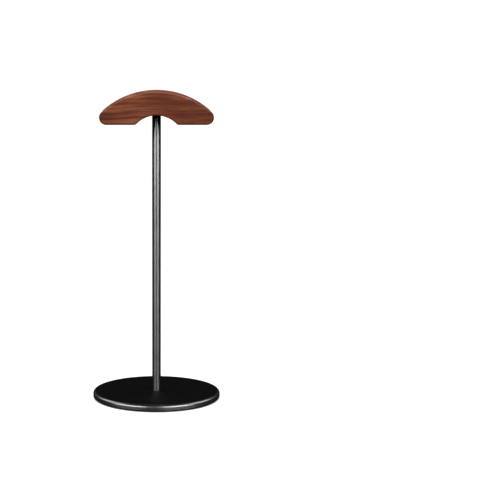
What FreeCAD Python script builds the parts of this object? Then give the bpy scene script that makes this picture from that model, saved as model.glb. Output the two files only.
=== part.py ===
import FreeCAD, Part
import os
import Sketcher

# A headphone stand: a walnut saddle on a slim black pole, screwed to a weighted round base.
# Millimetres, +Z up.  The origin is the centre of the foot pad, on the surface the stand
# rests on.  X runs along the saddle's length and Y across it, from front (-Y) to back (+Y).
#
# Both screw joints use M5 threads.  Every threaded piece is placed at a whole number of
# pitches above the surface, so the ridges of one thread lie in the grooves of the other.

DIMENSIONS = (
    # alias, value, meaning
    ("total_height", 289.5, "surface to the highest line of the saddle"),
    ("base_diameter", 120.0, "outside of the base"),
    ("base_gap", 1.0, "surface to the lower edge of the base shell"),
    ("base_top", 7.0, "surface to the top face of the base"),
    ("base_edge_radius", 2.5, "round on the top edge of the base"),
    ("base_foot_radius", 0.8, "round on the lower edge of the base"),
    ("shell_thickness", 2.0, "top wall of the base shell"),
    ("shell_rim", 3.0, "side wall of the base shell"),
    ("shell_inner_round", 0.8, "round inside the shell, under the top wall"),
    ("seat_clearance", 0.05, "all round the pole in its seats"),
    ("screw_clearance_diameter", 5.5, "hole for an M5 screw"),
    ("weight_diameter", 113.4, "ballast plate"),
    ("weight_bottom", 1.6, "surface to the underside of the ballast plate"),
    ("weight_edge", 0.4, "chamfer round the ballast plate"),
    ("film_thickness", 0.1, "adhesive film between pad and ballast plate"),
    ("pad_diameter", 111.0, "foot pad"),
    ("pad_opening", 18.0, "hole in the pad over the screw"),
    ("film_inset", 0.5, "how far the film stays inside the pad's edges"),
    ("pad_edge_radius", 0.3, "round on the pad's lower edges"),
    ("pole_diameter", 8.2, "pole"),
    ("pole_bottom", 6.4, "surface to the lower end of the pole"),
    ("pole_top", 270.4, "surface to the upper end of the pole"),
    ("pole_chamfer", 0.4, "both ends of the pole"),
    ("pole_lower_tap", 14.4, "depth of the thread in the lower end"),
    ("pole_upper_tap", 9.6, "depth of the thread in the upper end"),
    ("drill_point", 1.2, "cone at the bottom of a drilled hole"),
    ("saddle_length", 104.0, "end to end"),
    ("saddle_depth", 66.0, "front to back at the underside"),
    ("saddle_top_depth", 63.6, "front to back at the crown, where the faces lean in"),
    ("saddle_rise", 30.0, "underside to crown"),
    ("end_radius", 6.65, "round at each end of the saddle"),
    ("cradle_radius", 62.4, "hollow for the headband, seen from the end"),
    ("cradle_dip", 6.2, "depth of the hollow below the crown"),
    ("arch_radius", 25.5, "arch under the saddle"),
    ("arch_rise", 8.5, "height of the arch"),
    ("arch_corner", 3.0, "round where the arch meets the underside"),
    ("face_edge_radius", 1.4, "round along the front and back faces"),
    ("cradle_edge_radius", 1.0, "round along the hollow"),
    ("insert_diameter", 7.0, "threaded insert over its knurl"),
    ("insert_length", 7.2, "threaded insert"),
    ("insert_waist", 6.2, "diameter of the groove between the knurled bands"),
    ("insert_band", 2.6, "length of each knurled band"),
    ("insert_hole_depth", 8.4, "hole for the insert, above the pole's seat"),
    ("knurl_count", 24, "notches round the insert"),
    ("knurl_depth", 0.25, "depth of each notch"),
    ("knurl_width", 0.3, "width of each notch at the rim"),
    ("stud_length", 16.0, "set screw that joins pole and saddle"),
    ("stud_bottom", 262.4, "surface to the lower end of the set screw"),
    ("stud_socket_width", 2.5, "hexagon across flats"),
    ("stud_socket_depth", 2.4, "hexagon depth"),
    ("screw_length", 16.0, "countersunk base screw, head included"),
    ("screw_head_diameter", 10.0, "countersunk head"),
    ("screw_head_rim", 0.25, "straight edge round the head"),
    ("screw_neck_pitches", 5, "head and plain neck below the thread, in whole pitches"),
    ("screw_socket_width", 3.0, "hexagon across flats"),
    ("screw_socket_depth", 2.0, "hexagon depth"),
    ("screw_tip", 0.5, "chamfer on the ends of screw and set screw"),
    ("thread_pitch", 0.8, "M5 coarse"),
    ("thread_outer", 4.9, "over the ridges of an outside thread"),
    ("thread_root", 4.0, "in the grooves of an outside thread"),
    ("thread_bore", 4.2, "drilled before tapping"),
    ("thread_tap", 5.06, "in the grooves of an inside thread"),
    ("thread_flank_diameter", 4.48, "where ridge and groove are equally wide"),
    ("thread_play", 0.04, "added to the width of every groove"),
)

SEAT_RADIUS = "Dims.pole_diameter / 2 + Dims.seat_clearance"
SADDLE_BOTTOM = "(Dims.total_height - Dims.saddle_rise)"
ARCH_CROWN = f"({SADDLE_BOTTOM} + Dims.arch_rise)"
POLE_LENGTH = "(Dims.pole_top - Dims.pole_bottom)"
WEIGHT_TOP = "(Dims.base_top - Dims.shell_thickness)"
PAD_TOP = "(Dims.weight_bottom - Dims.film_thickness)"

# The crown is one arc that runs tangent into both end rounds, so its radius follows from
# the saddle's length and rise and the radius of the ends.
END_CENTRE = "(Dims.saddle_length / 2 - Dims.end_radius)"
CROWN_RADIUS = (
    f"(({END_CENTRE}^2 + (Dims.saddle_rise - Dims.end_radius)^2 - Dims.end_radius^2)"
    " / (2 * (Dims.saddle_rise - 2 * Dims.end_radius)))"
)
CROWN_CENTRE = f"(Dims.total_height - {CROWN_RADIUS})"

# A thread's cut runs on past the end of its piece, so that it leaves no blunt start there.
THREAD_RUN = "(Dims.thread_pitch * 2)"
SCREW_NECK = "(Dims.thread_pitch * Dims.screw_neck_pitches)"

OUTSIDE_CUT = 1.0    # how far a cutting outline reaches past the piece it cuts
THREAD_OVERCUT = 0.1  # the same for the outline of a thread, across its diameter
CRADLE_TURN = 200    # degrees, well past both ends of the saddle
CROSSING = 10.0      # an edge at least this long in Y runs from face to face
FACING = 0.9         # how squarely along Y a front or back face looks
FLAT_ENOUGH = 1e-3   # tolerance when edges are told apart by their place

doc = FreeCAD.newDocument("HeadphoneStand")
sheet = doc.addObject("Spreadsheet::Sheet", "Dims")


def fill_sheet():
    for row, (alias, value, meaning) in enumerate(DIMENSIONS, start=1):
        sheet.set(f"A{row}", meaning)
        sheet.set(f"B{row}", str(value))
        sheet.setAlias(f"B{row}", alias)
    doc.recompute()


def number(expression):
    """The present value of an expression on the sheet."""
    value = sheet.evalExpression(expression)
    return float(getattr(value, "Value", value))


# ---- sketches ---------------------------------------------------------------------------

def new_body(label, height="0"):
    """A body whose own origin stands at the given height on the stand's axis."""
    body = doc.addObject("PartDesign::Body", label)
    body.Label = label
    body.Placement = FreeCAD.Placement()
    body.setExpression("Placement.Base.z", height)
    return body


def new_sketch(body, role, name):
    sketch = body.newObject("Sketcher::SketchObject", name)
    plane = next(item for item in body.Origin.OriginFeatures if item.Role == role)
    sketch.AttachmentSupport = [(plane, "")]
    sketch.MapMode = "FlatFace"
    return sketch


def bind(sketch, kind, *ends, expression):
    """Add one dimension to a sketch and bind it to the sheet."""
    index = sketch.addConstraint(Sketcher.Constraint(kind, *ends, number(expression)))
    sketch.setExpression(f"Constraints[{index}]", expression)


def pin(sketch, geometry, point, across, up):
    """Hold a point of the sketch at a place measured from the sketch's origin."""
    bind(sketch, "DistanceX", -1, 1, geometry, point, expression=across)
    bind(sketch, "DistanceY", -1, 1, geometry, point, expression=up)


def polygon(sketch, corners):
    """A closed outline of straight lines, with each corner bound to the sheet."""
    first = sketch.GeometryCount
    places = [FreeCAD.Vector(number(across), number(up), 0) for across, up in corners]
    for start, end in zip(places, places[1:] + places[:1]):
        sketch.addGeometry(Part.LineSegment(start, end), False)
    for index, (across, up) in enumerate(corners):
        following = first + (index + 1) % len(corners)
        sketch.addConstraint(Sketcher.Constraint("Coincident", first + index, 2, following, 1))
        pin(sketch, first + index, 1, across, up)


def circle(sketch, radius):
    """A circle about the sketch's origin."""
    centre = FreeCAD.Vector(0, 0, 0)
    index = sketch.addGeometry(Part.Circle(centre, FreeCAD.Vector(0, 0, 1), number(radius)), False)
    sketch.addConstraint(Sketcher.Constraint("Coincident", index, 3, -1, 1))
    bind(sketch, "Radius", index, expression=radius)


def segment(sketch, centre, radius, chord, above):
    """An arc closed by a level chord; the arc bulges up from the chord, or hangs below it."""
    middle = FreeCAD.Vector(0, number(centre), 0)
    size = number(radius)
    level = number(chord)
    reach = (size**2 - (level - middle.y)**2)**0.5
    side = 1 if above else -1
    left = FreeCAD.Vector(-reach, level, 0)
    right = FreeCAD.Vector(reach, level, 0)
    summit = FreeCAD.Vector(0, middle.y + side * size, 0)
    arc = sketch.addGeometry(Part.Arc(left, summit, right), False)
    line = sketch.addGeometry(Part.LineSegment(left, right), False)
    left_end, right_end = (2, 1) if above else (1, 2)
    sketch.addConstraint(Sketcher.Constraint("Coincident", arc, left_end, line, 1))
    sketch.addConstraint(Sketcher.Constraint("Coincident", arc, right_end, line, 2))
    pin(sketch, arc, 3, "0", centre)
    bind(sketch, "Radius", arc, expression=radius)
    bind(sketch, "DistanceY", -1, 1, line, 1, expression=chord)
    bind(sketch, "DistanceY", -1, 1, line, 2, expression=chord)


# ---- features ---------------------------------------------------------------------------

def pad(body, name, sketch, length, midplane=False):
    feature = body.newObject("PartDesign::Pad", name)
    feature.Profile = sketch
    feature.Midplane = midplane
    feature.setExpression("Length", length)
    return feature


def pocket(body, name, sketch, length, midplane=False, upward=False):
    feature = body.newObject("PartDesign::Pocket", name)
    feature.Profile = sketch
    feature.Midplane = midplane
    feature.Reversed = upward
    feature.setExpression("Length", length)
    return feature


def turn(body, kind, name, sketch, axis="V_Axis"):
    """A full turn of a sketch: kind is Revolution, which adds, or Groove, which cuts."""
    feature = body.newObject(f"PartDesign::{kind}", name)
    feature.Profile = sketch
    feature.ReferenceAxis = (sketch, [axis])
    feature.Angle = 360
    return feature


def round_edges(body, name, base, edges, radius):
    feature = body.newObject("PartDesign::Fillet", name)
    feature.Base = (base, edges)
    feature.setExpression("Radius", radius)
    return feature


def edges_where(feature, test):
    """Names of the edges of a feature's shape that pass a test."""
    doc.recompute()
    return [f"Edge{index}" for index, edge in enumerate(feature.Shape.Edges, start=1) if test(edge)]


def edges_of_face(feature, test):
    """Names of the edges round every face of a feature's shape that passes a test."""
    doc.recompute()
    wanted = [edge for face in feature.Shape.Faces if test(face) for edge in face.Edges]
    return edges_where(feature, lambda edge: any(edge.isSame(other) for other in wanted))


def is_ring(edge, radius, height):
    """True for a full circle about the Z axis of this radius at this height."""
    curve = edge.Curve
    return (
        isinstance(curve, Part.Circle)
        and abs(curve.Radius - radius) < FLAT_ENOUGH
        and abs(curve.Center.z - height) < FLAT_ENOUGH
    )


def thread(body, name, inner, outer, offset, start, length):
    """Cut a helical groove whose flanks lean 30 degrees.

    inner and outer are the diameters the cut spans.  The cut narrows inwards for an outside
    thread and outwards for an inside one, and passes the XZ plane at start plus whole pitches
    plus offset.
    """
    outside = offset == "0"
    sign = "+" if outside else "-"
    sketch = new_sketch(body, "XZ_Plane", f"{name}_profile")
    middle = f"{start} + {offset}"

    def half_width(diameter):
        lean = f"({diameter} - Dims.thread_flank_diameter) / 2 * tan(30 deg)"
        return f"(Dims.thread_pitch / 4 {sign} {lean} + Dims.thread_play / 2)"

    polygon(sketch, (
        (f"{inner} / 2", f"{middle} - {half_width(inner)}"),
        (f"{outer} / 2", f"{middle} - {half_width(outer)}"),
        (f"{outer} / 2", f"{middle} + {half_width(outer)}"),
        (f"{inner} / 2", f"{middle} + {half_width(inner)}"),
    ))
    doc.recompute()
    helix = body.newObject("PartDesign::SubtractiveHelix", name)
    helix.Profile = sketch
    helix.ReferenceAxis = (sketch, ["V_Axis"])
    helix.Mode = "pitch-height-angle"
    helix.setExpression("Pitch", "Dims.thread_pitch")
    helix.setExpression("Height", length)
    return helix


def outside_thread(body, name, start, length):
    """start and length are whole pitches in the body's own frame."""
    reach = f"(Dims.thread_outer + {THREAD_OVERCUT})"
    return thread(body, name, "Dims.thread_root", reach, "0", start, length)


def inside_thread(body, name, start, length):
    mouth = f"(Dims.thread_bore - {THREAD_OVERCUT})"
    return thread(body, name, mouth, "Dims.thread_tap", "Dims.thread_pitch / 2", start, length)


def hexagon(body, name, width, height, depth, upward):
    """A hexagon socket whose mouth lies at the given height."""
    sketch = new_sketch(body, "XY_Plane", f"{name}_outline")
    sketch.setExpression("AttachmentOffset.Base.z", height)
    polygon(sketch, [
        (f"{width} / sqrt(3) * cos({turned} deg)", f"{width} / sqrt(3) * sin({turned} deg)")
        for turned in range(0, 360, 60)
    ])
    return pocket(body, name, sketch, depth, upward=upward)


# ---- the saddle -------------------------------------------------------------------------

def saddle():
    """The wooden head: a domed block, hollowed along its crown, with an arch underneath."""
    body = new_body("saddle")

    outline = new_sketch(body, "XZ_Plane", "side_outline")
    segment(outline, CROWN_CENTRE, CROWN_RADIUS, SADDLE_BOTTOM, above=True)
    block = pad(body, "block", outline, "Dims.saddle_depth", midplane=True)

    block_edges = edges_where(block, lambda edge: (
        isinstance(edge.Curve, Part.Line) and edge.BoundBox.YLength > CROSSING
    ))
    round_edges(body, "ends", block, block_edges, "Dims.end_radius")

    arch_outline = new_sketch(body, "XZ_Plane", "arch_outline")
    segment(
        arch_outline, f"{ARCH_CROWN} - Dims.arch_radius", "Dims.arch_radius",
        f"{SADDLE_BOTTOM} - {OUTSIDE_CUT}", above=True,
    )
    arch = pocket(body, "arch", arch_outline, "Dims.saddle_depth * 2", midplane=True)
    bottom = number(SADDLE_BOTTOM)
    half_arch = number("sqrt(Dims.arch_radius^2 - (Dims.arch_radius - Dims.arch_rise)^2)")
    arch_edges = edges_where(arch, lambda edge: (
        edge.BoundBox.YLength > CROSSING
        and abs(edge.BoundBox.Center.z - bottom) < FLAT_ENOUGH
        and abs(abs(edge.BoundBox.Center.x) - half_arch) < FLAT_ENOUGH
    ))
    round_edges(body, "arch_corners", arch, arch_edges, "Dims.arch_corner")

    lean_faces(body)
    hollow_sketch = new_sketch(body, "YZ_Plane", "cradle_outline")
    segment(
        hollow_sketch, "Dims.total_height - Dims.cradle_dip + Dims.cradle_radius",
        "Dims.cradle_radius", f"Dims.total_height + {OUTSIDE_CUT}", above=False,
    )
    start = FreeCAD.Vector(0, number(CROWN_CENTRE), 0)
    end = FreeCAD.Vector(number("Dims.cradle_dip"), number(CROWN_CENTRE), 0)
    axis = hollow_sketch.addGeometry(Part.LineSegment(start, end), True)
    pin(hollow_sketch, axis, 1, "0", CROWN_CENTRE)
    pin(hollow_sketch, axis, 2, "Dims.cradle_dip", CROWN_CENTRE)
    hollow = turn(body, "Groove", "cradle", hollow_sketch, axis="Axis0")
    # A turn that starts and ends below the saddle leaves no seam along the crown.
    hollow.Angle = CRADLE_TURN
    hollow.Midplane = True

    hollow_edges = edges_of_face(hollow, lambda face: isinstance(face.Surface, Part.Toroid))
    softened = round_edges(body, "cradle_edges", hollow, hollow_edges, "Dims.cradle_edge_radius")

    face_edges = edges_of_face(softened, lambda face: (
        isinstance(face.Surface, Part.Plane) and abs(face.normalAt(0, 0).y) > FACING
    ))
    round_edges(body, "face_edges", softened, face_edges, "Dims.face_edge_radius")

    pole_seat(body)
    return body


def lean_faces(body):
    """The front and back faces lean in towards the crown."""
    sketch = new_sketch(body, "YZ_Plane", "face_lean")
    top = f"Dims.total_height + {OUTSIDE_CUT}"
    lean = (
        "(Dims.saddle_depth - Dims.saddle_top_depth) / 2"
        f" * (Dims.saddle_rise + {OUTSIDE_CUT}) / Dims.saddle_rise"
    )
    for side in ("", "-"):
        polygon(sketch, (
            (f"{side}(Dims.saddle_depth / 2)", SADDLE_BOTTOM),
            (f"{side}(Dims.saddle_depth / 2 - {lean})", top),
            (f"{side}(Dims.saddle_depth / 2 + {OUTSIDE_CUT})", top),
            (f"{side}(Dims.saddle_depth / 2 + {OUTSIDE_CUT})", SADDLE_BOTTOM),
        ))
    return pocket(body, "leaning_faces", sketch, "Dims.saddle_length * 2", midplane=True)


def pole_seat(body):
    """A shallow seat for the pole at the arch's crown, and above it the insert's hole."""
    sketch = new_sketch(body, "XZ_Plane", "seat_outline")
    hole_top = "Dims.pole_top + Dims.insert_hole_depth"
    polygon(sketch, (
        ("0", SADDLE_BOTTOM),
        (SEAT_RADIUS, SADDLE_BOTTOM),
        (SEAT_RADIUS, "Dims.pole_top"),
        ("Dims.insert_diameter / 2", "Dims.pole_top"),
        ("Dims.insert_diameter / 2", hole_top),
        ("0", f"{hole_top} + Dims.drill_point"),
    ))
    return turn(body, "Groove", "seat", sketch)


# ---- what joins pole and saddle ---------------------------------------------------------

def saddle_insert():
    """A knurled brass insert, pressed into the saddle, threaded M5 inside."""
    body = new_body("saddle_insert", "Dims.pole_top")
    outline = new_sketch(body, "XY_Plane", "outline")
    circle(outline, "Dims.insert_diameter / 2")
    blank = pad(body, "blank", outline, "Dims.insert_length")

    # The notch's outline reaches as far outside the rim as inside it, so it is twice as
    # wide there as at the rim.
    notch = new_sketch(body, "XY_Plane", "notch")
    polygon(notch, (
        ("Dims.insert_diameter / 2 - Dims.knurl_depth", "0"),
        ("Dims.insert_diameter / 2 + Dims.knurl_depth", "-Dims.knurl_width"),
        ("Dims.insert_diameter / 2 + Dims.knurl_depth", "Dims.knurl_width"),
    ))
    cut = pocket(body, "knurl_notch", notch, "Dims.insert_length", upward=True)
    knurl = body.newObject("PartDesign::PolarPattern", "knurl")
    knurl.Originals = [cut]
    knurl.Axis = (notch, ["N_Axis"])
    knurl.Angle = 360
    knurl.setExpression("Occurrences", "Dims.knurl_count")
    body.Tip = knurl
    doc.recompute()

    waist = new_sketch(body, "XZ_Plane", "waist_outline")
    polygon(waist, (
        ("Dims.insert_waist / 2", "Dims.insert_band"),
        (f"Dims.insert_diameter / 2 + {OUTSIDE_CUT}", "Dims.insert_band"),
        (f"Dims.insert_diameter / 2 + {OUTSIDE_CUT}", "Dims.insert_length - Dims.insert_band"),
        ("Dims.insert_waist / 2", "Dims.insert_length - Dims.insert_band"),
    ))
    turn(body, "Groove", "waist", waist)

    bore = new_sketch(body, "XY_Plane", "bore_outline")
    circle(bore, "Dims.thread_bore / 2")
    pocket(body, "bore", bore, "Dims.insert_length", upward=True)
    inside_thread(body, "insert_thread", f"-{THREAD_RUN}", f"Dims.insert_length + {THREAD_RUN} * 2")
    return body


def saddle_stud():
    """A set screw, half in the pole and half in the insert, with a socket in its lower end."""
    body = new_body("saddle_stud", "Dims.stud_bottom")
    outline = new_sketch(body, "XZ_Plane", "outline")
    polygon(outline, (
        ("0", "0"),
        ("Dims.thread_outer / 2 - Dims.screw_tip", "0"),
        ("Dims.thread_outer / 2", "Dims.screw_tip"),
        ("Dims.thread_outer / 2", "Dims.stud_length - Dims.screw_tip"),
        ("Dims.thread_outer / 2 - Dims.screw_tip", "Dims.stud_length"),
        ("0", "Dims.stud_length"),
    ))
    turn(body, "Revolution", "blank", outline)
    hexagon(body, "socket", "Dims.stud_socket_width", "0", "Dims.stud_socket_depth", upward=True)
    outside_thread(body, "stud_thread", f"-{THREAD_RUN}", f"Dims.stud_length + {THREAD_RUN} * 2")
    return body


# ---- the pole ---------------------------------------------------------------------------

def pole():
    """A round bar, tapped M5 at both ends."""
    body = new_body("pole", "Dims.pole_bottom")
    outline = new_sketch(body, "XZ_Plane", "outline")
    polygon(outline, (
        ("0", "0"),
        ("Dims.pole_diameter / 2 - Dims.pole_chamfer", "0"),
        ("Dims.pole_diameter / 2", "Dims.pole_chamfer"),
        ("Dims.pole_diameter / 2", f"{POLE_LENGTH} - Dims.pole_chamfer"),
        ("Dims.pole_diameter / 2 - Dims.pole_chamfer", POLE_LENGTH),
        ("0", POLE_LENGTH),
    ))
    turn(body, "Revolution", "bar", outline)

    lower_end = "Dims.pole_lower_tap + Dims.thread_pitch"
    lower = new_sketch(body, "XZ_Plane", "lower_hole_outline")
    polygon(lower, (
        ("0", "0"),
        ("Dims.thread_bore / 2", "0"),
        ("Dims.thread_bore / 2", lower_end),
        ("0", f"{lower_end} + Dims.drill_point"),
    ))
    turn(body, "Groove", "lower_hole", lower)

    upper_end = f"({POLE_LENGTH} - Dims.pole_upper_tap - Dims.thread_pitch)"
    upper = new_sketch(body, "XZ_Plane", "upper_hole_outline")
    polygon(upper, (
        ("0", POLE_LENGTH),
        ("Dims.thread_bore / 2", POLE_LENGTH),
        ("Dims.thread_bore / 2", upper_end),
        ("0", f"{upper_end} - Dims.drill_point"),
    ))
    turn(body, "Groove", "upper_hole", upper)

    inside_thread(body, "lower_thread", f"-{THREAD_RUN}", f"Dims.pole_lower_tap + {THREAD_RUN}")
    top_start = f"{POLE_LENGTH} - Dims.pole_upper_tap"
    inside_thread(body, "upper_thread", top_start, f"Dims.pole_upper_tap + {THREAD_RUN}")
    return body


# ---- the base ---------------------------------------------------------------------------

def base_shell():
    """The turned cover: a shallow dish, open below, with a seat for the pole on top."""
    body = new_body("base_shell")
    outline = new_sketch(body, "XZ_Plane", "outline")
    outside = "Dims.base_diameter / 2"
    inside = "Dims.base_diameter / 2 - Dims.shell_rim"
    hole = "Dims.screw_clearance_diameter / 2"
    polygon(outline, (
        (hole, WEIGHT_TOP),
        (inside, WEIGHT_TOP),
        (inside, "Dims.base_gap"),
        (outside, "Dims.base_gap"),
        (outside, "Dims.base_top"),
        (SEAT_RADIUS, "Dims.base_top"),
        (SEAT_RADIUS, "Dims.pole_bottom"),
        (hole, "Dims.pole_bottom"),
    ))
    dish = turn(body, "Revolution", "dish", outline)
    radius = number(outside)
    top_ring = edges_where(dish, lambda edge: is_ring(edge, radius, number("Dims.base_top")))
    topped = round_edges(body, "top_edge", dish, top_ring, "Dims.base_edge_radius")
    foot_ring = edges_where(topped, lambda edge: is_ring(edge, radius, number("Dims.base_gap")))
    footed = round_edges(body, "foot_edge", topped, foot_ring, "Dims.base_foot_radius")
    corner = edges_where(footed, lambda edge: is_ring(edge, number(inside), number(WEIGHT_TOP)))
    round_edges(body, "inner_corner", footed, corner, "Dims.shell_inner_round")
    return body


def base_weight():
    """The ballast: a steel plate inside the shell, countersunk for the base screw."""
    body = new_body("base_weight")
    outline = new_sketch(body, "XZ_Plane", "outline")
    edge = "Dims.weight_diameter / 2"
    hole = "Dims.screw_clearance_diameter / 2"
    mouth = "(Dims.screw_head_diameter / 2 + Dims.screw_head_rim)"
    polygon(outline, (
        (hole, WEIGHT_TOP),
        (hole, f"Dims.weight_bottom + {mouth} - {hole}"),
        (mouth, "Dims.weight_bottom"),
        (f"{edge} - Dims.weight_edge", "Dims.weight_bottom"),
        (edge, "Dims.weight_bottom + Dims.weight_edge"),
        (edge, f"{WEIGHT_TOP} - Dims.shell_inner_round"),
        (f"{edge} - Dims.shell_inner_round", WEIGHT_TOP),
    ))
    turn(body, "Revolution", "plate", outline)
    return body


def base_screw():
    """A countersunk M5 socket screw, up through the ballast and the shell into the pole."""
    body = new_body("base_screw", "Dims.weight_bottom")
    outline = new_sketch(body, "XZ_Plane", "outline")
    head = "Dims.screw_head_diameter / 2"
    shank = "Dims.thread_outer / 2"
    polygon(outline, (
        ("0", "0"),
        (head, "0"),
        (head, "Dims.screw_head_rim"),
        (shank, f"{head} - {shank} + Dims.screw_head_rim"),
        (shank, "Dims.screw_length - Dims.screw_tip"),
        (f"{shank} - Dims.screw_tip", "Dims.screw_length"),
        ("0", "Dims.screw_length"),
    ))
    turn(body, "Revolution", "blank", outline)
    hexagon(body, "socket", "Dims.screw_socket_width", "0", "Dims.screw_socket_depth", upward=True)
    outside_thread(body, "screw_thread", SCREW_NECK, f"Dims.screw_length - {SCREW_NECK} + {THREAD_RUN}")
    return body


def ring(label, height, thickness, outer, inner):
    """A flat ring."""
    body = new_body(label, height)
    sketch = new_sketch(body, "XY_Plane", "outline")
    circle(sketch, outer)
    circle(sketch, inner)
    return body, pad(body, "ring", sketch, thickness)


def base_pad():
    """The soft ring the stand rests on."""
    body, flat = ring("base_pad", "0", PAD_TOP, "Dims.pad_diameter / 2", "Dims.pad_opening / 2")
    lower = edges_where(flat, lambda edge: (
        abs(edge.BoundBox.ZMax) < FLAT_ENOUGH and isinstance(edge.Curve, Part.Circle)
    ))
    round_edges(body, "lower_edges", flat, lower, "Dims.pad_edge_radius")
    return body


def pad_adhesive():
    """The adhesive film that holds the pad to the ballast."""
    body, _ = ring(
        "pad_adhesive", PAD_TOP, "Dims.film_thickness",
        "Dims.pad_diameter / 2 - Dims.film_inset", "Dims.pad_opening / 2 + Dims.film_inset",
    )
    return body


# ---- build, check and write -------------------------------------------------------------

def check(bodies):
    doc.recompute()
    for item in doc.Objects:
        if {"Invalid", "Error"} & set(item.State):
            raise SystemExit(f"{item.Name} failed: {item.State}")
    for body in bodies:
        shape = body.Shape
        if shape.isNull() or not shape.isValid() or len(shape.Solids) != 1:
            raise SystemExit(f"{body.Label} is not one valid solid")


def write(bodies):
    os.makedirs("parts", exist_ok=True)
    for body in bodies:
        body.Shape.exportStep(f"parts/{body.Label}.step")
        print(f"{body.Label:16s} {body.Shape.Volume:12.1f} mm3")


fill_sheet()
BODIES = (
    saddle(),
    saddle_insert(),
    saddle_stud(),
    pole(),
    base_shell(),
    base_weight(),
    base_screw(),
    base_pad(),
    pad_adhesive(),
)
check(BODIES)
write(BODIES)
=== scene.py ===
import math

import bpy
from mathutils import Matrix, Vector


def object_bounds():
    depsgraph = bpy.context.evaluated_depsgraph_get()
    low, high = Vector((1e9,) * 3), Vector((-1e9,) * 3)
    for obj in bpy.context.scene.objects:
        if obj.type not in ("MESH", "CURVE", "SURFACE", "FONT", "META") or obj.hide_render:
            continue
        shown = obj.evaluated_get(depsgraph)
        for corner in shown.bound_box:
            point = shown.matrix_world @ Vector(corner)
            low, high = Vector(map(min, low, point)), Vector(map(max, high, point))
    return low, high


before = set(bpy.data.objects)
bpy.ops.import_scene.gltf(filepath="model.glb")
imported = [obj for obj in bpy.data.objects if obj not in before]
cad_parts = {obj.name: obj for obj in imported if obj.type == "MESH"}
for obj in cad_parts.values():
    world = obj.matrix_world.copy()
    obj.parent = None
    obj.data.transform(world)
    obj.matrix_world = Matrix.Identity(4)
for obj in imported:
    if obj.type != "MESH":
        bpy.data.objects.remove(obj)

CAD_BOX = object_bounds()

# Lengths are in metres, colours are linear.  The stand is seen from the front, along +Y.

# ---- the view ---------------------------------------------------------------------------

SENSOR_WIDTH = 0.036
CAMERA_DISTANCE = 1.324      # from the pole's axis
CAMERA_HEIGHT = 0.326
FOCAL_LENGTH = 0.1027
SHIFT = (0.187, -0.008)      # places the stand left of the middle, in fractions of the width
CLIP_START = 0.01
CLIP_END = 50.0
MM_PER_METRE = 1000

# ---- the floor --------------------------------------------------------------------------

FLOOR_RADIUS = 2.2
FLOOR_BEND = 1.2             # radius of the curve up into the wall
FLOOR_BEND_DEGREES = 80
FLOOR_BEND_STEPS = 16
FLOOR_SIDES = 96
FLOOR_GLOW = 0.86
FLOOR_ALBEDO = 0.35
FLOOR_CLOUDING = 0.01        # how far its albedo varies, both ways
PAINTED_SHADOW_RADII = (0.0575, 0.0602)    # painted contact shadow: the floor's glow starts at the base's edge and is nil under it

# ---- the lights -------------------------------------------------------------------------

STRIP_DISTANCE = 1.25
# For each strip: its bearing in degrees to the right of the camera's side, its width, the
# heights of its lower and upper edge, and its radiance.
STRIPS = {
    "pole": (
        (-40, 1.06, 0.334, 1.00, 26.0), (39, 1.06, 0.334, 1.00, 29.0),
        (180, 0.36, 0.325, 1.00, 6.0),
    ),
    "base_shell": (
        (-47, 1.24, 0.020, 0.70, 6.8), (38, 1.14, 0.020, 0.70, 9.0),
        (-105, 1.00, 0.450, 1.50, 3.3), (97, 1.00, 0.450, 1.50, 3.6),
    ),
}
# For each softbox: its place, the point it faces, its width, its height and its radiance.
SOFTBOXES = {
    "top_softbox": ((0.0, -0.15, 1.50), (0.0, 0.0, 0.0), 1.2, 0.9, 3.5),
    "front_softbox": ((0.0, -1.20, 1.15), (0.0, 0.0, 0.20), 1.4, 0.8, 3.0),
    "back_softbox": ((0.0, 1.20, 1.15), (0.0, 0.0, 0.20), 1.4, 0.8, 2.4),
}
NOT_MIRRORED = "back_softbox"      # the others are mirrored, by all but the base
FILL_ABOVE = 0.60            # the room's own light, from above and from below
FILL_BELOW = 0.05
FILL_RISE = (-0.4, 0.5)      # the heights of a direction between which the fill grows
REFLECTED_ROOM = 0.01        # what polished metal sees of it
WHITE = (1.0, 1.0, 1.0, 1.0)


# ---- small helpers for node trees -------------------------------------------------------

NOWHERE = (0.0, 0.0, 0.0)
NOISE_LOW = 0.3              # nearly all of a noise lies between these two
NOISE_HIGH = 0.7


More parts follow.
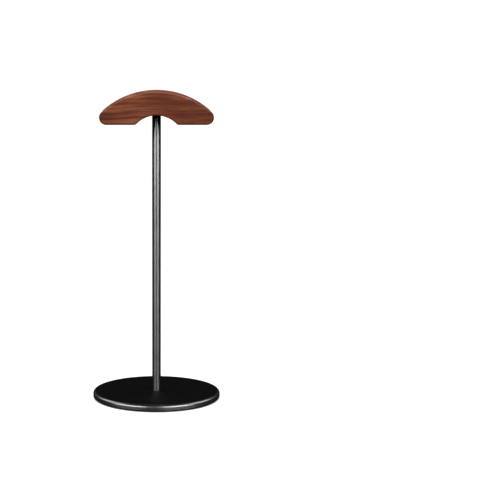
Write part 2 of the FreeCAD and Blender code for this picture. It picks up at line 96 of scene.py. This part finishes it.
class Tree:
    """A material's node tree, with short ways to add and join nodes."""

    def __init__(self, name):
        self.material = bpy.data.materials.new(name)
        self.material.use_nodes = True
        self.tree = self.material.node_tree
        self.tree.nodes.clear()
        self.output = self.add("ShaderNodeOutputMaterial")
        self.shader = self.add("ShaderNodeBsdfPrincipled")
        self.join(self.shader.outputs["BSDF"], self.output.inputs["Surface"])

    def add(self, kind, **settings):
        node = self.tree.nodes.new(kind)
        for name, value in settings.items():
            setattr(node, name, value)
        return node

    def join(self, source, target):
        self.tree.links.new(source, target)

    def put(self, socket, value):
        """Set a socket to a number or colour, or join it to another socket."""
        if isinstance(value, bpy.types.NodeSocket):
            self.join(value, socket)
        else:
            socket.default_value = value

    def math(self, operation, first, second=0.0):
        node = self.add("ShaderNodeMath", operation=operation)
        self.put(node.inputs[0], first)
        self.put(node.inputs[1], second)
        return node.outputs[0]

    def weighted(self, *pairs):
        """The sum of some values, each times its weight."""
        total = self.math("MULTIPLY", *pairs[0])
        for value, weight in pairs[1:]:
            total = self.math("ADD", total, self.math("MULTIPLY", value, weight))
        return total

    def vector(self, operation, first, second=NOWHERE):
        node = self.add("ShaderNodeVectorMath", operation=operation)
        self.put(node.inputs[0], first)
        self.put(node.inputs[1], second)
        scalar = operation in ("DOT_PRODUCT", "LENGTH", "DISTANCE")
        return node.outputs["Value" if scalar else "Vector"]

    def place(self):
        """The point on the surface in the stand's own frame, in metres."""
        return self.add("ShaderNodeTexCoord").outputs["Object"]

    def facing(self):
        """The direction that the surface faces there."""
        return self.add("ShaderNodeTexCoord").outputs["Normal"]

    def join_parts(self, *values):
        node = self.add("ShaderNodeCombineXYZ")
        for socket, value in zip(node.inputs, values):
            self.put(socket, value)
        return node.outputs[0]

    def parts(self, vector):
        node = self.add("ShaderNodeSeparateXYZ")
        self.join(vector, node.inputs[0])
        return node.outputs

    def noise(self, vector, scale=1.0, detail=3.0, roughness=0.5):
        node = self.add("ShaderNodeTexNoise")
        self.join(vector, node.inputs["Vector"])
        node.inputs["Scale"].default_value = scale
        node.inputs["Detail"].default_value = detail
        node.inputs["Roughness"].default_value = roughness
        return node

    def stretched(self, place, scales, **settings):
        """A noise that varies so many times a metre along X, Y and Z."""
        return self.noise(self.vector("MULTIPLY", place, scales), **settings)

    def ramp(self, value, stops):
        node = self.add("ShaderNodeValToRGB")
        points = node.color_ramp.elements
        while len(points) < len(stops):
            points.new(0.5)
        for point, (position, colour) in zip(points, stops):
            point.position = position
            point.color = (*colour, 1.0)
        self.put(node.inputs["Fac"], value)
        return node.outputs["Color"]

    def span(self, value, low, high, to_low=0.0, to_high=1.0):
        """Map low..high to to_low..to_high, held inside that range."""
        node = self.add("ShaderNodeMapRange", clamp=True)
        self.put(node.inputs["Value"], value)
        node.inputs["From Min"].default_value = low
        node.inputs["From Max"].default_value = high
        node.inputs["To Min"].default_value = to_low
        node.inputs["To Max"].default_value = to_high
        return node.outputs["Result"]

    def shade(self, noise, dark, light, low=NOISE_LOW, high=NOISE_HIGH):
        """A colour that runs from dark to light while a noise runs from low to high."""
        return self.ramp(noise.outputs["Fac"], ((low, dark), (high, light)))

    def vary(self, noise, to_low, to_high, low=NOISE_LOW, high=NOISE_HIGH):
        """A number that runs from to_low to to_high while a noise runs from low to high."""
        return self.span(noise.outputs["Fac"], low, high, to_low, to_high)

    def blend(self, mode, amount, first, second):
        node = self.add("ShaderNodeMix", data_type="RGBA", blend_type=mode)
        self.put(node.inputs["Factor"], amount)
        colours = [item for item in node.inputs if item.type == "RGBA"]
        self.put(colours[0], first)
        self.put(colours[1], second)
        return next(item for item in node.outputs if item.type == "RGBA")

    def bump(self, height, distance, strength=1.0, below=None):
        node = self.add("ShaderNodeBump")
        node.inputs["Strength"].default_value = strength
        node.inputs["Distance"].default_value = distance
        self.put(node.inputs["Height"], height)
        if below is not None:
            self.join(below, node.inputs["Normal"])
        return node.outputs["Normal"]

    def surface(self, **values):
        for name, value in values.items():
            self.put(self.shader.inputs[name.replace("_", " ")], value)
        return self.material


# ---- materials --------------------------------------------------------------------------

WALNUT_LIGHT = (0.345, 0.099, 0.0350)
WALNUT_MIDDLE = (0.186, 0.036, 0.0085)
WALNUT_DARK = (0.085, 0.0125, 0.0030)
WALNUT_PORE = (0.026, 0.008, 0.004)
END_GRAIN = (0.30, 0.24, 0.22)
HEART = (0.0, 0.020, 0.190)        # a point on the tree's axis, well below the board
ROUND_HEART = (0.0, 1.0, 1.0)      # keeps what lies across the tree's axis, which runs along X
FIGURE_SHIFT = 0.4                 # which stretch of the grain the block is cut from
RING_SPACING = 0.0042
RING_PROFILE = (                   # from pale earlywood to dark latewood
    (0.0, (0.10, 0.10, 0.10)), (0.6, (0.35, 0.35, 0.35)),
    (0.9, (1.00, 1.00, 1.00)), (1.0, (0.10, 0.10, 0.10)),
)
MID_NOISE = (0.5, 0.5, 0.5)
SWAY_REACH = (0.0, 0.012, 0.012)   # how far the rings wander
DRIFT_IN_RINGS = 3.0               # how far their spacing does

# How many times a metre each of the walnut's noises varies along X, Y and Z.
SWAY_SCALES = (11.0, 22.0, 22.0)
DRIFT_SCALES = (10.0, 40.0, 40.0)
PATCH_SCALES = (30.0, 70.0, 70.0)
FIBRE_SCALES = (26.0, 640.0, 640.0)
CLOUD_SCALES = (26.0, 45.0, 45.0)
VESSEL_SCALES = (120.0, 2600.0, 2600.0)
BAND_SCALES = (16.0, 420.0, 14.0)  # the same along the trunk, away from the heart and across

BAND_WEIGHT = 0.95                 # what each of them adds to the tone
LATEWOOD_WEIGHT = 0.10
FIBRE_WEIGHT = 0.40
CLOUD_WEIGHT = 0.35
TONE_SPAN = (0.67, 1.11)           # from the lightest to the darkest wood
PATCH_SPAN = (0.35, 0.65)
PORE_SPAN = (0.64, 0.72)
PORE_STRENGTH = 0.6
END_SHARPNESS = 1.6                # how soon end grain sets in as a face turns towards X
END_STRENGTH = 0.72
WALNUT_ROUGHNESS = (0.34, 0.46)
PORE_ROUGHNESS = 0.18              # added in the pores


def growth(tree, place):
    """The bands and the latewood lines that run round the heart of the tree."""
    along, across = tree.parts(place)[:2]
    sway = tree.stretched(place, SWAY_SCALES, detail=2.0).outputs["Color"]
    wander = tree.vector("MULTIPLY", tree.vector("SUBTRACT", sway, MID_NOISE), SWAY_REACH)
    swayed = tree.vector("ADD", place, wander)
    from_heart = tree.vector("MULTIPLY", tree.vector("SUBTRACT", swayed, HEART), ROUND_HEART)
    radius = tree.vector("LENGTH", from_heart)

    trunk = tree.join_parts(tree.math("ADD", along, FIGURE_SHIFT), radius, across)
    bands = tree.stretched(trunk, BAND_SCALES, roughness=0.62).outputs["Fac"]

    drift = tree.stretched(place, DRIFT_SCALES, detail=2.0).outputs["Fac"]
    years = tree.math(
        "ADD", tree.math("DIVIDE", radius, RING_SPACING), tree.math("MULTIPLY", drift, DRIFT_IN_RINGS))
    ring = tree.ramp(tree.math("FRACT", years), RING_PROFILE)
    patches = tree.stretched(place, PATCH_SCALES, detail=1.0).outputs["Fac"]
    latewood = tree.math("MULTIPLY", ring, tree.span(patches, *PATCH_SPAN))
    return bands, latewood


def walnut():
    """Oiled walnut with its grain along X, cut from one solid block."""
    tree = Tree("walnut")
    place = tree.place()
    bands, latewood = growth(tree, place)
    fibre = tree.stretched(place, FIBRE_SCALES, detail=4.0, roughness=0.6)
    cloud = tree.stretched(place, CLOUD_SCALES).outputs["Fac"]
    tone = tree.weighted(
        (bands, BAND_WEIGHT), (latewood, LATEWOOD_WEIGHT),
        (fibre.outputs["Fac"], FIBRE_WEIGHT), (cloud, CLOUD_WEIGHT),
    )
    wood = tree.ramp(tree.span(tone, *TONE_SPAN), (
        (0.0, WALNUT_LIGHT), (0.5, WALNUT_MIDDLE), (1.0, WALNUT_DARK),
    ))

    vessel = tree.stretched(place, VESSEL_SCALES, detail=1.0).outputs["Fac"]
    pore = tree.span(vessel, *PORE_SPAN)
    pored = tree.blend("MIX", tree.math("MULTIPLY", pore, PORE_STRENGTH), wood, (*WALNUT_PORE, 1.0))

    towards_x = tree.math("ABSOLUTE", tree.parts(tree.facing())[0])
    end_on = tree.math("POWER", towards_x, END_SHARPNESS)
    end_amount = tree.math("MULTIPLY", end_on, END_STRENGTH)
    colour = tree.blend("MULTIPLY", end_amount, pored, (*END_GRAIN, 1.0))

    rough = tree.vary(fibre, *WALNUT_ROUGHNESS)
    rough = tree.math("ADD", rough, tree.math("MULTIPLY", pore, PORE_ROUGHNESS))
    grain = tree.bump(fibre.outputs["Fac"], distance=0.00010, strength=0.30)
    pitted = tree.bump(tree.math("SUBTRACT", 1.0, pore), distance=0.00015, strength=0.5, below=grain)
    return tree.surface(
        Base_Color=colour, Roughness=rough, Normal=pitted, IOR=1.46,
        Coat_Weight=0.10, Coat_Roughness=0.24, Coat_IOR=1.45,
    )


# Each finish of the anodised metal is a roughness and a specular level.
TURNED = (0.29, 1.00)
BLASTED = (0.58, 0.03)
CENTRELESS = (0.31, 0.50)
LOOKS_UP = (0.93, 0.999)           # the rise of a normal from a side to a face that looks up
BASE_MARKS = (900.0, 900.0, 60.0)  # the noise that turning leaves, times a metre along X, Y and Z
POLE_MARKS = (40.0, 40.0, 2400.0)
POLE_SPREAD = 0.7
MARK_DEPTH = 0.02                  # what turning and handling do to the roughness
SMEAR_DEPTH = 0.05
QUARTER_TURN = 0.25


def black_anodised(name, marks, sides, top, spread=0.0):
    """Black anodised aluminium with one finish on its sides and one on the faces that look up.

    spread is how far the turning marks, which run round Z, draw highlights out along Z.
    """
    tree = Tree(name)
    place = tree.place()
    blast = tree.noise(place, scale=4200.0, detail=2.0)
    handling = tree.noise(place, scale=38.0, detail=5.0, roughness=0.62)
    smear = tree.vary(handling, 0.0, 1.0, low=0.42, high=0.68)
    turned = tree.stretched(place, marks)
    rise = tree.parts(tree.facing())[2]
    rough = tree.span(rise, *LOOKS_UP, sides[0], top[0])
    rough = tree.math("ADD", rough, tree.vary(turned, -MARK_DEPTH, MARK_DEPTH))
    rough = tree.math("ADD", rough, tree.math("MULTIPLY", smear, SMEAR_DEPTH))
    round_z = tree.add("ShaderNodeTangent", direction_type="RADIAL", axis="Z")
    return tree.surface(
        Base_Color=tree.shade(blast, (0.0032, 0.0032, 0.0034), (0.0050, 0.0050, 0.0053)),
        Roughness=rough, IOR=1.8, Specular_IOR_Level=tree.span(rise, *LOOKS_UP, sides[1], top[1]),
        Normal=tree.bump(blast.outputs["Fac"], distance=0.00001, strength=0.04),
        Tangent=round_z.outputs["Tangent"], Anisotropic=spread, Anisotropic_Rotation=QUARTER_TURN,
    )


def rubber():
    """Matt black rubber sheet with a fine pebble grain."""
    tree = Tree("foot_rubber")
    place = tree.place()
    pebbles = tree.add("ShaderNodeTexVoronoi", feature="SMOOTH_F1")
    tree.join(place, pebbles.inputs["Vector"])
    pebbles.inputs["Scale"].default_value = 1400.0
    dust = tree.noise(place, scale=60.0, detail=6.0, roughness=0.7)
    return tree.surface(
        Base_Color=tree.shade(dust, (0.016, 0.016, 0.017), (0.040, 0.039, 0.038), low=0.35, high=0.75),
        Roughness=tree.vary(dust, 0.72, 0.9, high=0.8), IOR=1.5,
        Normal=tree.bump(pebbles.outputs["Distance"], distance=0.00012, strength=0.6),
    )


def plated_steel():
    """Zinc-plated rolled plate with faint rolling lines and clouded spangle."""
    tree = Tree("zinc_plated_steel")
    place = tree.place()
    rolled = tree.stretched(place, (30.0, 2400.0, 200.0))
    spangle = tree.noise(place, scale=120.0)
    return tree.surface(
        Base_Color=tree.shade(spangle, (0.46, 0.47, 0.50), (0.62, 0.63, 0.65)),
        Roughness=tree.vary(rolled, 0.26, 0.44), Metallic=1.0,
        Normal=tree.bump(rolled.outputs["Fac"], distance=0.00003, strength=0.4),
    )


def black_steel():
    """Black oxide on a machine screw, rubbed brighter here and there."""
    tree = Tree("black_oxide_steel")
    rub = tree.noise(tree.place(), scale=700.0, detail=4.0)
    return tree.surface(
        Base_Color=tree.shade(rub, (0.020, 0.020, 0.022), (0.10, 0.10, 0.105), low=0.45, high=0.8),
        Roughness=tree.vary(rub, 0.48, 0.34), Metallic=1.0,
        Normal=tree.bump(rub.outputs["Fac"], distance=0.00003, strength=0.4),
    )


def brass():
    """Machined brass, slightly dulled."""
    tree = Tree("machined_brass")
    place = tree.place()
    lathe = tree.stretched(place, (200.0, 200.0, 6000.0), detail=2.0)
    dull = tree.noise(place, scale=500.0, detail=4.0)
    return tree.surface(
        Base_Color=tree.shade(dull, (0.50, 0.32, 0.10), (0.72, 0.50, 0.20)),
        Roughness=tree.vary(lathe, 0.22, 0.36), Metallic=1.0,
        Normal=tree.bump(lathe.outputs["Fac"], distance=0.00002, strength=0.4),
    )


def adhesive():
    """A translucent adhesive film, with small trapped bubbles."""
    tree = Tree("adhesive_film")
    bubbles = tree.noise(tree.place(), scale=900.0, detail=2.0)
    return tree.surface(
        Base_Color=tree.shade(bubbles, (0.62, 0.60, 0.54), (0.80, 0.79, 0.74), low=0.4),
        Roughness=tree.vary(bubbles, 0.3, 0.55), Alpha=0.9,
        Normal=tree.bump(bubbles.outputs["Fac"], distance=0.00003, strength=0.5),
    )


def dress(materials):
    """Give every CAD node its material."""
    for node, material in materials.items():
        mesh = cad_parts[node].data
        mesh.materials.clear()
        mesh.materials.append(material)


# ---- stage, light and camera ------------------------------------------------------------

def floor_paper():
    """Pale paper with a glow of its own; the glow is cut off under the base, a painted contact shadow.
    """
    tree = Tree("floor_paper")
    cloud = tree.noise(tree.place(), scale=3.0, detail=2.0)
    darker = (FLOOR_ALBEDO - FLOOR_CLOUDING,) * 3
    lighter = (FLOOR_ALBEDO + FLOOR_CLOUDING,) * 3
    from_axis = tree.vector("LENGTH", tree.place())
    return tree.surface(
        Base_Color=tree.shade(cloud, darker, lighter), Roughness=0.6, IOR=1.2,
        # the glow falls to nothing under the base's edge: a painted shadow, not one the lamps cast
        Emission_Color=WHITE, Emission_Strength=tree.span(from_axis, *PAINTED_SHADOW_RADII, 0.0, FLOOR_GLOW),
    )


def pale_floor():
    """A pale sheet that curves up all round into a low wall, so it has no horizon."""
    rows = [(FLOOR_RADIUS, 0.0)]
    for step in range(1, FLOOR_BEND_STEPS + 1):
        turn = math.radians(FLOOR_BEND_DEGREES) * step / FLOOR_BEND_STEPS
        reach = FLOOR_RADIUS + FLOOR_BEND * math.sin(turn)
        rows.append((reach, FLOOR_BEND * (1 - math.cos(turn))))
    bearings = [2 * math.pi * step / FLOOR_SIDES for step in range(FLOOR_SIDES)]
    points = [(r * math.cos(b), r * math.sin(b), height) for r, height in rows for b in bearings]
    faces = [tuple(range(FLOOR_SIDES))]
    for row in range(len(rows) - 1):
        inner, outer = row * FLOOR_SIDES, (row + 1) * FLOOR_SIDES
        for side in range(FLOOR_SIDES):
            after = (side + 1) % FLOOR_SIDES
            faces.append((inner + side, outer + side, outer + after, inner + after))
    mesh = bpy.data.meshes.new("floor")
    mesh.from_pydata(points, [], faces)
    mesh.shade_smooth()
    mesh.materials.append(floor_paper())
    floor = bpy.data.objects.new("floor", mesh)
    bpy.context.scene.collection.objects.link(floor)
    floor.visible_glossy = False
    floor.visible_diffuse = False


def softbox(name, place, aim, width, tall, radiance):
    """A rectangular light that faces a point."""
    data = bpy.data.lights.new(name, "AREA")
    data.shape = "RECTANGLE"
    data.size = width
    data.size_y = tall
    data.energy = radiance * math.pi * width * tall
    light = bpy.data.objects.new(name, data)
    light.location = place
    light.rotation_euler = (Vector(aim) - light.location).to_track_quat("-Z", "Y").to_euler()
    light.visible_camera = False
    bpy.context.scene.collection.objects.link(light)
    return light


def all_but(node):
    """A collection for a light to name, which leaves one node out of what it lights."""
    others = bpy.data.collections.new("all_but_" + node)
    others.objects.link(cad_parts[node])
    others.collection_objects[0].light_linking.link_state = "EXCLUDE"
    return others


def strips(node):
    """The upright softboxes that only this node mirrors."""
    mirror = bpy.data.collections.new(node + "_strips")
    mirror.objects.link(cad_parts[node])
    for bearing, width, low, high, radiance in STRIPS[node]:
        turn = math.radians(bearing)
        middle = (low + high) / 2
        place = (STRIP_DISTANCE * math.sin(turn), -STRIP_DISTANCE * math.cos(turn), middle)
        light = softbox(node + "_strip", place, (0.0, 0.0, middle), width, high - low, radiance)
        light.visible_diffuse = False
        light.light_linking.receiver_collection = mirror


def background(nodes, strength):
    """One of the world's whites."""
    node = nodes.new("ShaderNodeBackground")
    node.inputs["Color"].default_value = WHITE
    node.inputs["Strength"].default_value = strength
    return node


def surroundings():
    """White for the camera, soft from above for diffuse light, and dark in reflections."""
    world = bpy.data.worlds.new("studio")
    bpy.context.scene.world = world
    world.use_nodes = True
    nodes = world.node_tree.nodes
    links = world.node_tree.links
    nodes.clear()
    output = nodes.new("ShaderNodeOutputWorld")
    path = nodes.new("ShaderNodeLightPath")
    direction = nodes.new("ShaderNodeTexCoord")
    height = nodes.new("ShaderNodeSeparateXYZ")
    links.new(direction.outputs["Generated"], height.inputs[0])
    rise = nodes.new("ShaderNodeMapRange")
    rise.inputs["From Min"].default_value = FILL_RISE[0]
    rise.inputs["From Max"].default_value = FILL_RISE[1]
    rise.inputs["To Min"].default_value = FILL_BELOW
    rise.inputs["To Max"].default_value = FILL_ABOVE
    links.new(height.outputs["Z"], rise.inputs["Value"])
    fill = background(nodes, FILL_ABOVE)
    links.new(rise.outputs["Result"], fill.inputs["Strength"])
    dark = background(nodes, REFLECTED_ROOM)
    white = background(nodes, 1.0)
    indirect = nodes.new("ShaderNodeMixShader")
    whole = nodes.new("ShaderNodeMixShader")
    links.new(path.outputs["Is Glossy Ray"], indirect.inputs["Fac"])
    links.new(fill.outputs[0], indirect.inputs[1])
    links.new(dark.outputs[0], indirect.inputs[2])
    links.new(path.outputs["Is Camera Ray"], whole.inputs["Fac"])
    links.new(indirect.outputs[0], whole.inputs[1])
    links.new(white.outputs[0], whole.inputs[2])
    links.new(whole.outputs[0], output.inputs["Surface"])


def studio_light():
    """The room's own light, the strips that single nodes mirror, and the softboxes."""
    surroundings()
    for node in STRIPS:
        strips(node)
    lit = all_but("base_shell")
    for name, setting in SOFTBOXES.items():
        light = softbox(name, *setting)
        if name == NOT_MIRRORED:
            light.visible_glossy = False
        else:
            light.light_linking.receiver_collection = lit


def camera():
    """The photograph's view of the stand."""
    data = bpy.data.cameras.new("camera")
    data.sensor_fit = "HORIZONTAL"
    data.sensor_width = SENSOR_WIDTH * MM_PER_METRE
    data.lens = FOCAL_LENGTH * MM_PER_METRE
    data.shift_x, data.shift_y = SHIFT
    data.clip_start = CLIP_START
    data.clip_end = CLIP_END
    view = bpy.data.objects.new("camera", data)
    view.location = (0.0, -CAMERA_DISTANCE, CAMERA_HEIGHT)
    middle = (CAD_BOX[0] + CAD_BOX[1]) / 2
    aim = Vector((0.0, 0.0, middle[2]))
    view.rotation_euler = (aim - view.location).to_track_quat("-Z", "Y").to_euler()
    bpy.context.scene.collection.objects.link(view)
    bpy.context.scene.camera = view


metal = black_anodised("black_anodised_base", BASE_MARKS, sides=TURNED, top=BLASTED)
bar = black_anodised(
    "black_anodised_pole", POLE_MARKS, sides=CENTRELESS, top=CENTRELESS, spread=POLE_SPREAD)
steel = black_steel()
dress({
    "saddle": walnut(),
    "saddle_insert": brass(),
    "saddle_stud": steel,
    "pole": bar,
    "base_shell": metal,
    "base_weight": plated_steel(),
    "base_screw": steel,
    "base_pad": rubber(),
    "pad_adhesive": adhesive(),
})
pale_floor()
studio_light()
camera()
bpy.context.scene.view_settings.view_transform = "Standard"
